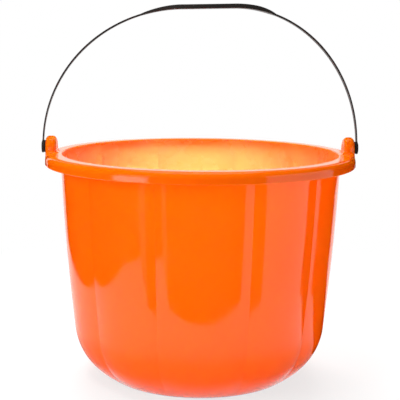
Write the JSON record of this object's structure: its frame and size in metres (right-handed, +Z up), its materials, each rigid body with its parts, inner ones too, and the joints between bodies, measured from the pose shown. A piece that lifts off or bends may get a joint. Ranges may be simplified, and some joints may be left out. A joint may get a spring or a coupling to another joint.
{
  "type": "candy pail",
  "caption": "Round moulded plastic pail with pumpkin lobes down its sides, a turned-down rim with hollow ears, and a strap bail with a wide grip that snaps into the ears and swings.",
  "frame": {"origin": "middle of the foot ring, on the surface that the pail stands on", "axes": "+Z up out of the mouth, +X along the line through both ears, -Y towards the front of the pail"},
  "size_m": [0.223, 0.2176, 0.2611],
  "materials": {
    "orange_plastic": "glossy moulded orange plastic that lets some light through",
    "black_plastic": "black moulded plastic with a soft gloss"
  },
  "bodies": {
    "pail": {"pail": "orange_plastic"},
    "handle": {"handle": "black_plastic"}
  },
  "joints": [
    {"name": "handle_swing", "type": "hinge", "parent": "pail", "child": "handle", "pos_m": [0, 0, 0.1615], "axis": [1, 0, 0], "range_deg": [-86, 86]}
  ]
}
